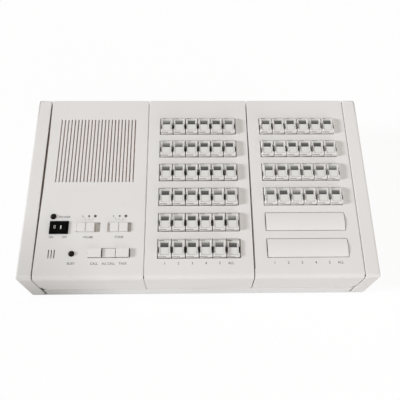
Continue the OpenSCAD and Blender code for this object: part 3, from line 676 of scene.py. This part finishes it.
# The slide knobs' places, and half the size of their openings and of the lips in these
SLIDES = (-PANEL - 3.2, -PANEL + 31.1)
SLIDE_V = 57.9
SLIDE_OPENING = (12.9, 5.6)
LIP_V, LIP_HALF = 5.35, 0.25
lips = joined([(slab(-SLIDE_OPENING[0], SLIDE_OPENING[0], side * LIP_V - LIP_HALF,
                     side * LIP_V + LIP_HALF, -1.4, -0.7), deck_place(x, SLIDE_V), 0)
               for x in SLIDES for side in (-1, 1)])
keep(new_piece("slide_opening_lips", lips, CREAM), "case", "case_plastic")

ROCKER_SPOT = (-PANEL - 35.5, 57.7, -1.0)
ROCKER_TILT = math.radians(7.5)
ROCKER_RISE = (3.0, 1.4, 8.4)       # height at the middle, and rise over half the length
MARK_SLOPE = 9.46
MARK_THICK = 0.05


def rocker_mark(mesh, x, slope):
    """Places a flat mark on the rocker's top, at x along it."""
    height = ROCKER_RISE[0] + abs(x) * ROCKER_RISE[1] / ROCKER_RISE[2] + 0.03
    turn = Matrix.Rotation(math.radians(slope), 4, "Y")
    return (mesh, deck_place(*ROCKER_SPOT) @ Matrix.Rotation(ROCKER_TILT, 4, "Y")
            @ Matrix.Translation((x, 0, height)) @ turn, 0)


def ring(outer_x, outer_y, width, steps=28):
    """A flat oval ring."""
    work = bmesh.new()
    edges = []
    for x, y in ((outer_x, outer_y), (outer_x - width, outer_y - width)):
        edges.append([work.verts.new((x * math.cos(2 * math.pi * i / steps),
                                      y * math.sin(2 * math.pi * i / steps), MARK_THICK))
                      for i in range(steps)])
    for i in range(steps):
        j = (i + 1) % steps
        work.faces.new((edges[0][i], edges[0][j], edges[1][j], edges[1][i]))
    bmesh.ops.recalc_face_normals(work, faces=work.faces)
    if work.faces[:][0].normal.z < 0:
        bmesh.ops.reverse_faces(work, faces=work.faces)
    mesh = bpy.data.meshes.new("ring")
    work.to_mesh(mesh)
    work.free()
    return mesh


keep(softened("power_switch_frame", "power_switch_bezel", BEZEL, 0.35, 3), "case", "rocker_black",
     "power_switch_frame")
keep(softened("power_rocker", "power_rocker_cap", ROCKER, 0.35, 3), "power_rocker", "rocker_black",
     "power_rocker")
marks = joined([rocker_mark(ring(1.1, 2.0, 0.5), -4.6, MARK_SLOPE),
                rocker_mark(slab(-0.65, 0.65, -2.0, 2.0, 0.0, MARK_THICK), 2.0, -MARK_SLOPE)])
keep(new_piece("power_rocker_marks", marks, WHITE_INK), "power_rocker", "rocker_black")

# ---- Lamps, microphone, speaker ----------------------------------------------------------

LAMPS = ((-PANEL - 43, 70.7), (-PANEL - 19.3, 27.8))
collar = lathe([(2.4, -3.0), (2.6, -3.0), (2.65, 0.0), (3.2, 0.0), (3.25, 0.2), (3.2, 0.7),
                (2.95, 1.0), (2.6, 1.0), (2.5, 0.9), (2.45, 0.3), (2.4, 0.3), (2.4, -3.0)], 40)
dome = lathe([(0, -9), (2.3, -9), (2.38, -8.8), (2.38, 0.9)]
             + [(2.38 * math.cos(a), 0.9 + 1.75 * math.sin(a))
                for a in [math.radians(d) for d in range(12, 90, 12)]] + [(0, 2.65)], 40)
lamps = joined([(mesh, deck_place(*lamp), index) for lamp in LAMPS
                for index, mesh in enumerate((collar, dome))])
smooth(lamps, 40)
keep(new_piece("indicator_lamps_dressed", lamps, COLLAR, LAMP), "case", "lamp_dark",
     "indicator_lamps")

# The grille's middle on the deck, and the speaker's depth and seat below it
GRILLE = (-PANEL - 0.6, 154)
BASKET = 17
SEAT = -5.5
RIPPLES = 20
ripples = [(9.0 + i * 1.29, 3.6 - BASKET + (i / RIPPLES) * 11.4 + 0.12 * math.sin(i * 2.1))
           for i in range(RIPPLES + 1)]
roll = [(34.8 + 4.6 * t, -2.0 + 1.75 * math.sin(math.pi * min(1.0, t * 1.05)) * 0.9 + 1.2 * t)
        for t in (0.15, 0.3, 0.45, 0.6, 0.75, 0.9)]
cone = lathe(ripples + roll + [(39.8, -0.7), (39.8, -1.5), (37.3, -1.5), (34.8, -3.0),
                               (9.0, 2.2 - BASKET)], 72)
cap = lathe([(9.3, 3.55 - BASKET)] + [(9.0 * math.cos(a), 3.6 - BASKET + 2.4 * math.sin(a))
                                      for a in [math.radians(d) for d in range(0, 90, 12)]]
            + [(0, 6 - BASKET)], 48)
screen = joined([(slab(-46, 46, -42, 42, -2.9, -2.6, 0.1), deck_place(*GRILLE), 0)])
keep(new_piece("grille_screen", screen, SCREEN), "case", "cone_paper")
seat = deck_place(*GRILLE, SEAT)
mesh = joined([(cone, seat, 0), (cap, seat, 1)])
smooth(mesh, 50)
keep(new_piece("speaker_cone_paper", mesh, PAPER, CAP), "case", "cone_paper", "speaker_cone")
keep(softened("speaker_frame", "speaker_basket", FRAME_STEEL, 0.2), "case", "plated_steel",
     "speaker_frame")
keep(softened("speaker_magnet", "speaker_magnet_ring", FERRITE, 0.5), "case", "ferrite",
     "speaker_magnet")
keep(softened("microphone", "microphone_capsule", FELT, 0.4), "case", "rubber_black", "microphone")


# ---- Repeated pieces ---------------------------------------------------------------------

class Recipe:
    """A Geometry Nodes tree with named sizes, run once on a carrier mesh."""

    def __init__(self, name, **sizes):
        self.tree = bpy.data.node_groups.new(name, "GeometryNodeTree")
        face = self.tree.interface
        face.new_socket("Geometry", in_out="INPUT", socket_type="NodeSocketGeometry")
        self.keys = {}
        self.sizes = sizes
        for size, value in sizes.items():
            kind = ("NodeSocketObject" if isinstance(value, bpy.types.Object)
                    else "NodeSocketVector" if isinstance(value, tuple)
                    else "NodeSocketInt" if isinstance(value, int) else "NodeSocketFloat")
            self.keys[size] = face.new_socket(size, in_out="INPUT", socket_type=kind).identifier
        face.new_socket("Geometry", in_out="OUTPUT", socket_type="NodeSocketGeometry")
        self.given = self.tree.nodes.new("NodeGroupInput")

    def size(self, name):
        return self.given.outputs[name]

    def node(self, kind, settings=None, sockets=None, out=0):
        made = self.tree.nodes.new(kind)
        for name, value in (settings or {}).items():
            setattr(made, name, value)
        for key, value in (sockets or {}).items():
            if isinstance(value, bpy.types.NodeSocket):
                self.tree.links.new(value, made.inputs[key])
            else:
                made.inputs[key].default_value = value
        return made.outputs[out]

    def run(self, name, geometry, material, carrier=None):
        """Realizes the tree's geometry as a plain mesh piece of one material."""
        solid = self.node("GeometryNodeRealizeInstances", None, {0: geometry})
        painted = self.node("GeometryNodeSetMaterial", None,
                            {"Geometry": solid, "Material": material})
        end = self.tree.nodes.new("NodeGroupOutput")
        self.tree.links.new(painted, end.inputs[0])
        holder = bpy.data.objects.new("rough_" + name, carrier or bpy.data.meshes.new(name))
        bpy.context.scene.collection.objects.link(holder)
        step = holder.modifiers.new("recipe", "NODES")
        step.node_group = self.tree
        for size, value in self.sizes.items():
            step[self.keys[size]] = value
        return baked(holder, name)


def spots(places):
    """A mesh of bare points, in metres."""
    mesh = bpy.data.meshes.new("spots")
    mesh.from_pydata(places, [], [])
    return mesh


THREAD_PITCH = 0.7


def screw_mesh(head_r, head_h, thread_r, length):
    """A cheese-head screw with a cross recess, pointing up from the underside of its head."""
    thread = []
    for i in range(int(length / THREAD_PITCH)):
        z = 0.3 + i * THREAD_PITCH
        thread += [(thread_r - 0.22, z), (thread_r, z + 0.3)]
    body = lathe([(0, -head_h + 0.15), (head_r * 0.55, -head_h + 0.05),
                  (head_r * 0.85, -head_h + 0.2), (head_r, -head_h + 0.55), (head_r, -0.1),
                  (head_r - 0.1, 0), (thread_r, 0)]
                 + thread + [(thread_r - 0.3, length - 0.1), (0, length)], 20)
    arm, half, floor = head_r * 0.62, head_r * 0.14, -head_h + 0.04
    outline = [(arm, half), (half, half), (half, arm), (-half, arm), (-half, half), (-arm, half),
               (-arm, -half), (-half, -half), (-half, -arm), (half, -arm), (half, -half),
               (arm, -half)]
    cross = bmesh.new()
    cross.faces.new([cross.verts.new((x, y, floor)) for x, y in outline])
    bmesh.ops.recalc_face_normals(cross, faces=cross.faces)
    if cross.faces[:][0].normal.z > 0:
        bmesh.ops.reverse_faces(cross, faces=cross.faces)
    plate = bpy.data.meshes.new("recess")
    cross.to_mesh(plate)
    cross.free()
    both = joined([(body, Matrix.Identity(4), 0), (plate, Matrix.Identity(4), 0)])
    both.transform(TO_METRES)
    smooth(both, 40)
    return both


def screw_set(name, groups, **sizes):
    """Screws at groups of (places in metres, rotation), as one piece."""
    pattern = new_piece("pattern_" + name, screw_mesh(**sizes), STEEL)
    parts = []
    for places, turn in groups:
        recipe = Recipe("screws_at_spots", Screw=pattern, Turn=turn)
        screw = recipe.node("GeometryNodeObjectInfo", None, {"Object": recipe.size("Screw")},
                            "Geometry")
        stood = recipe.node("GeometryNodeInstanceOnPoints", None,
                            {"Points": recipe.given.outputs["Geometry"], "Instance": screw,
                             "Rotation": recipe.size("Turn")})
        made = recipe.run(name + "_part", stood, STEEL, spots(places))
        parts.append((made.data, Matrix.Identity(4), 0))
        bpy.data.objects.remove(made)
    bpy.data.objects.remove(pattern)
    mesh = joined(parts)
    smooth(mesh, 40)
    return new_piece(name, mesh, STEEL)


# The screws' places, in from the faceplates' edges and up the cheeks
FROM_SIDE, FROM_FRONT = 7, 13
FLOOR_SCREWS = [((middle * PANEL + side * (PANEL / 2 - FROM_SIDE)) * MM, y * MM, 10.5 * MM)
                for middle in (-1, 0, 1) for side in (-1, 1)
                for y in (FRONT_Y + FROM_FRONT, -FRONT_Y - FROM_FRONT)]
CHEEK_IN = 180.8 - 2.5
CHEEK_SCREWS = [([(side * CHEEK_IN * MM, y * MM, 14 * MM) for y in (-70, 70)],
                 (0, side * math.pi / 2, 0)) for side in (1, -1)]
case_screws = screw_set("case_screw_set", [(FLOOR_SCREWS, (0, 0, 0))] + CHEEK_SCREWS,
                        head_r=2.8, head_h=2.0, thread_r=1.45, length=11.5)
keep(case_screws, "case", "screw_steel", "case_screws")

# Line connectors: black shells with two rows of gilt contacts
BACK_FACE = -FRONT_Y - 2.8
LINE_Z = 32
CONTACTS = 18
CONTACT_PITCH = 2.9
ROWS_APART = 3.4
CONTACT_IN = 6.3
CONTACT = (0.0011, 0.0072, 0.0006)      # metres


def contact_rows():
    """Two rows of flat contacts in each line connector's mouth."""
    recipe = Recipe("contact_rows", Contacts=CONTACTS, Pitch=CONTACT_PITCH * MM,
                    Rows_apart=ROWS_APART * MM, Contact=CONTACT)

    def line(count, **step):
        way = recipe.node("ShaderNodeCombineXYZ", None,
                          {axis: recipe.size(size) for axis, size in step.items()})
        return recipe.node("GeometryNodeMeshLine", {"mode": "OFFSET", "count_mode": "TOTAL"},
                           {"Count": count, "Offset": way})

    rows = line(2, Z="Rows_apart")
    row = line(recipe.size("Contacts"), X="Pitch")
    lines = recipe.node("GeometryNodeInstanceOnPoints", None, {"Points": rows, "Instance": row})
    grid = recipe.node("GeometryNodeRealizeInstances", None, {0: lines})
    blade = recipe.node("GeometryNodeMeshCube", None, {"Size": recipe.size("Contact")})
    blades = recipe.node("GeometryNodeInstanceOnPoints", None,
                         {"Points": grid, "Instance": blade})
    made = recipe.run("contacts", blades, GILT)
    first = (CONTACTS - 1) * CONTACT_PITCH / 2
    parts = [(made.data, Matrix.Translation(((middle * PANEL - first) * MM,
                                             (BACK_FACE - CONTACT_IN) * MM,
                                             (LINE_Z - ROWS_APART / 2) * MM)), 0)
             for middle in (-1, 0, 1)]
    mesh = joined(parts)
    bpy.data.objects.remove(made)
    return new_piece("line_contacts", mesh, GILT)


keep(contact_rows(), "case", "connector_black")
keep(softened("line_connectors", "line_connector_shells", CONNECTOR, 0.3), "case",
     "connector_black", "line_connectors")
keep(softened("dc_inlet", "dc_inlet_shell", CONNECTOR, 0.2), "case", "connector_black", "dc_inlet")

# Boards, switches and ribbons inside
for node, name, material in (("control_board", "control_board_lacquered", BOARD),
                             ("key_boards", "key_boards_lacquered", BOARD),
                             ("push_switches", "push_switch_bodies", SWITCH),
                             ("slide_switches", "slide_switch_bodies", HOUSING)):
    keep(softened(node, name, material, 0.15), "case",
         "board_green" if material is BOARD else "switch_black", node)
for node, material in (("wiring_ribbons", VINYL), ("board_screws", STEEL)):
    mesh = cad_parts[node].data
    mesh.materials.clear()
    mesh.materials.append(material)


# ---- Lettering --------------------------------------------------------------------------

def words(text, height, wide=1.0):
    """Flat lettering of a capital height, centred on its own place."""
    curve = bpy.data.curves.new("words", "FONT")
    curve.body = text
    curve.size = height / 0.69
    curve.align_x = "CENTER"
    curve.align_y = "CENTER"
    curve.offset = 0.02 * height
    holder = bpy.data.objects.new("words", curve)
    bpy.context.scene.collection.objects.link(holder)
    graph = bpy.context.evaluated_depsgraph_get()
    mesh = bpy.data.meshes.new_from_object(holder.evaluated_get(graph), depsgraph=graph)
    bpy.data.objects.remove(holder)
    mesh.transform(Matrix.Diagonal((wide, 1, 1, 1)))
    return mesh


def disc(radius):
    work = bmesh.new()
    bmesh.ops.create_circle(work, cap_ends=True, segments=20, radius=radius)
    mesh = bpy.data.meshes.new("disc")
    work.to_mesh(mesh)
    work.free()
    return mesh


LEADER_HALF = 0.14


def leader(x0, v0, x1, v1):
    """A thin printed line between two places on the deck."""
    start, end = Vector((x0, v0, 0)), Vector((x1, v1, 0))
    side = (end - start).normalized().cross(Vector((0, 0, 1))) * LEADER_HALF
    mesh = bpy.data.meshes.new("leader")
    mesh.from_pydata([start - side, start + side, end + side, end - side], [], [(0, 1, 2, 3)])
    return mesh


INK_UP = 0.04


def printed(name, items, ink):
    """Print on the deck: items are (mesh, across, up the deck)."""
    mesh = joined([(m, deck_place(x, v, INK_UP), 0) for m, x, v in items])
    keep(new_piece(name, mesh, ink), "case", "case_plastic")


# Words on the control faceplate: text, height, width, and place from the faceplate's middle
CONTROL = -PANEL
CONTROL_WORDS = (
    ("POWER", 2.5, 1.0, -30.2, 69.9), ("ON", 2.2, 1.0, -43.4, 46.6),
    ("OFF", 2.2, 1.0, -28.6, 46.6), ("VOLUME", 2.3, 0.86, -2.8, 46.4),
    ("TONE", 2.5, 1.0, 31.4, 46.4), ("BUSY", 2.5, 1.0, -19.1, 16.9),
    ("CALL", 2.5, 1.0, 6.0, 16.7), ("ALL CALL", 2.5, 0.92, 21.5, 16.7),
    ("TALK", 2.5, 1.0, 37.0, 16.7))
printed("control_lettering", [(words(text, height, wide), CONTROL + x, v)
                              for text, height, wide, x, v in CONTROL_WORDS], GREY_INK)

# Numbers under the key columns, the last word a little off its column
NUMBERS_V = 16.4
ALL_SHIFT = 2.8
numbers = [(words(text, 2.8), (column - 2.5) * KEY_PITCH - (ALL_SHIFT if text == "ALL" else 0),
            NUMBERS_V) for column, text in enumerate(["1", "2", "3", "4", "5", "ALL"])]
printed("middle_lettering", numbers, GREY_INK)
printed("right_lettering", [(m, x + PANEL, v) for m, x, v in numbers], GREY_INK)

# Dots of growing size over the slide knobs, their leaders, and lines along the openings' top and
# left edges, which are painted shade
DOTS = ((-7.0, 0.65), (0.0, 1.1), (6.9, 1.6))
DOTS_V = 71.0
LEADERS = ((-6.6, 69.6, -2.6, 66.2), (0, 69.4, 0, 66.4), (6.4, 69.2, 2.6, 66.2))
LINE_OUT = 0.15
dots = [(disc(radius), x + step, DOTS_V) for x in SLIDES for step, radius in DOTS]
printed("position_dots", dots, DARK_INK)
leaders = [(leader(x + x0, v0, x + x1, v1), 0, 0) for x in SLIDES for x0, v0, x1, v1 in LEADERS]
# Lines along each opening's top and left edge: painted shade
for x in SLIDES:
    low, high = SLIDE_V - SLIDE_OPENING[1], SLIDE_V + SLIDE_OPENING[1]
    left, right = x - SLIDE_OPENING[0], x + SLIDE_OPENING[0]
    leaders.append((leader(left, high + LINE_OUT, right, high + LINE_OUT), 0, 0))
    leaders.append((leader(left - LINE_OUT, low, left - LINE_OUT, high), 0, 0))
printed("position_lines", leaders, PALE_INK)

# ---- Studio, in metres ------------------------------------------------------------------

# The room's level, how much it grows towards the right, and its hue
ROOM_LEVEL, ROOM_GROWTH = 0.552, 0.34
ROOM_HUE = (1.02, 0.995, 0.96, 1)
WHITE = (1, 1, 1, 1)

SUN_LEVEL, SUN_SPREAD = 2.42, math.radians(13)
SUN_HUE = (0.965, 0.985, 1.03)
SUN_WAY = (10.6, 0.7, -4.5)         # on the deck

FILL_SIZE, FILL_WATTS = (1.6, 0.5), 4.2
FILL_PLACE, FILL_WAY = (0.7, -1.2, 0.35), (-0.7, 1.2, -0.3)

FLOOR_HALF = 3.0
FLOOR_GLOW, GLOW_SHARE = 1.05, 0.85


def room_light():
    """World light that lights softly, and is white where it is seen, mirrored or seen through."""
    world = bpy.data.worlds.new("studio")
    bpy.context.scene.world = world
    world.use_nodes = True
    tree = world.node_tree
    tree.nodes.clear()
    seen = tree.nodes.new("ShaderNodeLightPath")
    plain = None
    for ray in ("Is Camera Ray", "Is Glossy Ray", "Is Transmission Ray"):
        if plain is None:
            plain = seen.outputs[ray]
            continue
        either = tree.nodes.new("ShaderNodeMath")
        either.operation = "MAXIMUM"
        tree.links.new(plain, either.inputs[0])
        tree.links.new(seen.outputs[ray], either.inputs[1])
        plain = either.outputs[0]
    way = tree.nodes.new("ShaderNodeTexCoord")
    across = tree.nodes.new("ShaderNodeSeparateXYZ")
    tree.links.new(way.outputs["Generated"], across.inputs[0])
    room = tree.nodes.new("ShaderNodeMath")
    room.operation = "MULTIPLY_ADD"
    tree.links.new(across.outputs["X"], room.inputs[0])
    room.inputs[1].default_value = ROOM_GROWTH
    room.inputs[2].default_value = ROOM_LEVEL
    level = tree.nodes.new("ShaderNodeMix")
    tree.links.new(plain, level.inputs[0])
    tree.links.new(room.outputs[0], level.inputs[2])
    level.inputs[3].default_value = 1.0
    hue = tree.nodes.new("ShaderNodeMix")
    hue.data_type = "RGBA"
    tree.links.new(plain, hue.inputs[0])
    hue.inputs[6].default_value = ROOM_HUE
    hue.inputs[7].default_value = WHITE
    light = tree.nodes.new("ShaderNodeBackground")
    tree.links.new(hue.outputs[2], light.inputs["Color"])
    tree.links.new(level.outputs[0], light.inputs["Strength"])
    end = tree.nodes.new("ShaderNodeOutputWorld")
    tree.links.new(light.outputs[0], end.inputs["Surface"])


def lamp(name, kind, energy, way):
    """A lamp that shines along way, and its settings."""
    light = bpy.data.lights.new(name, kind)
    light.energy = energy
    holder = bpy.data.objects.new(name, light)
    bpy.context.scene.collection.objects.link(holder)
    holder.rotation_euler = way.to_track_quat("-Z", "Y").to_euler()
    return holder, light


def studio():
    bpy.context.scene.view_settings.view_transform = "Standard"
    room_light()

    _, sun = lamp("window_light", "SUN", SUN_LEVEL, deck_way(*SUN_WAY))
    sun.angle = SUN_SPREAD
    sun.color = SUN_HUE
    fill, panel_light = lamp("front_fill", "AREA", FILL_WATTS, Vector(FILL_WAY))
    panel_light.shape = "RECTANGLE"
    panel_light.size, panel_light.size_y = FILL_SIZE
    fill.location = FILL_PLACE

    size = FLOOR_HALF
    mesh = bpy.data.meshes.new("floor")
    mesh.from_pydata([(-size, -size, 0), (size, -size, 0), (size, size, 0), (-size, size, 0)],
                     [], [(0, 1, 2, 3)])
    f = Finish("floor_paper")
    shade = f.mix(f.noise(60.0, 3.0), tint(222, 222, 222), tint(226, 226, 226))
    paper = f.node("ShaderNodeBsdfDiffuse", None, {"Color": shade})
    glow = f.node("ShaderNodeEmission", None, {"Color": WHITE, "Strength": FLOOR_GLOW})
    camera_ray = f.node("ShaderNodeLightPath", out="Is Camera Ray")
    both = f.node("ShaderNodeMixShader", None, {0: camera_ray * GLOW_SHARE, 1: paper, 2: glow})
    end = f.tree.nodes.new("ShaderNodeOutputMaterial")
    f.tree.links.new(both.socket, end.inputs["Surface"])
    new_piece("studio_floor", mesh, f.material)


studio()
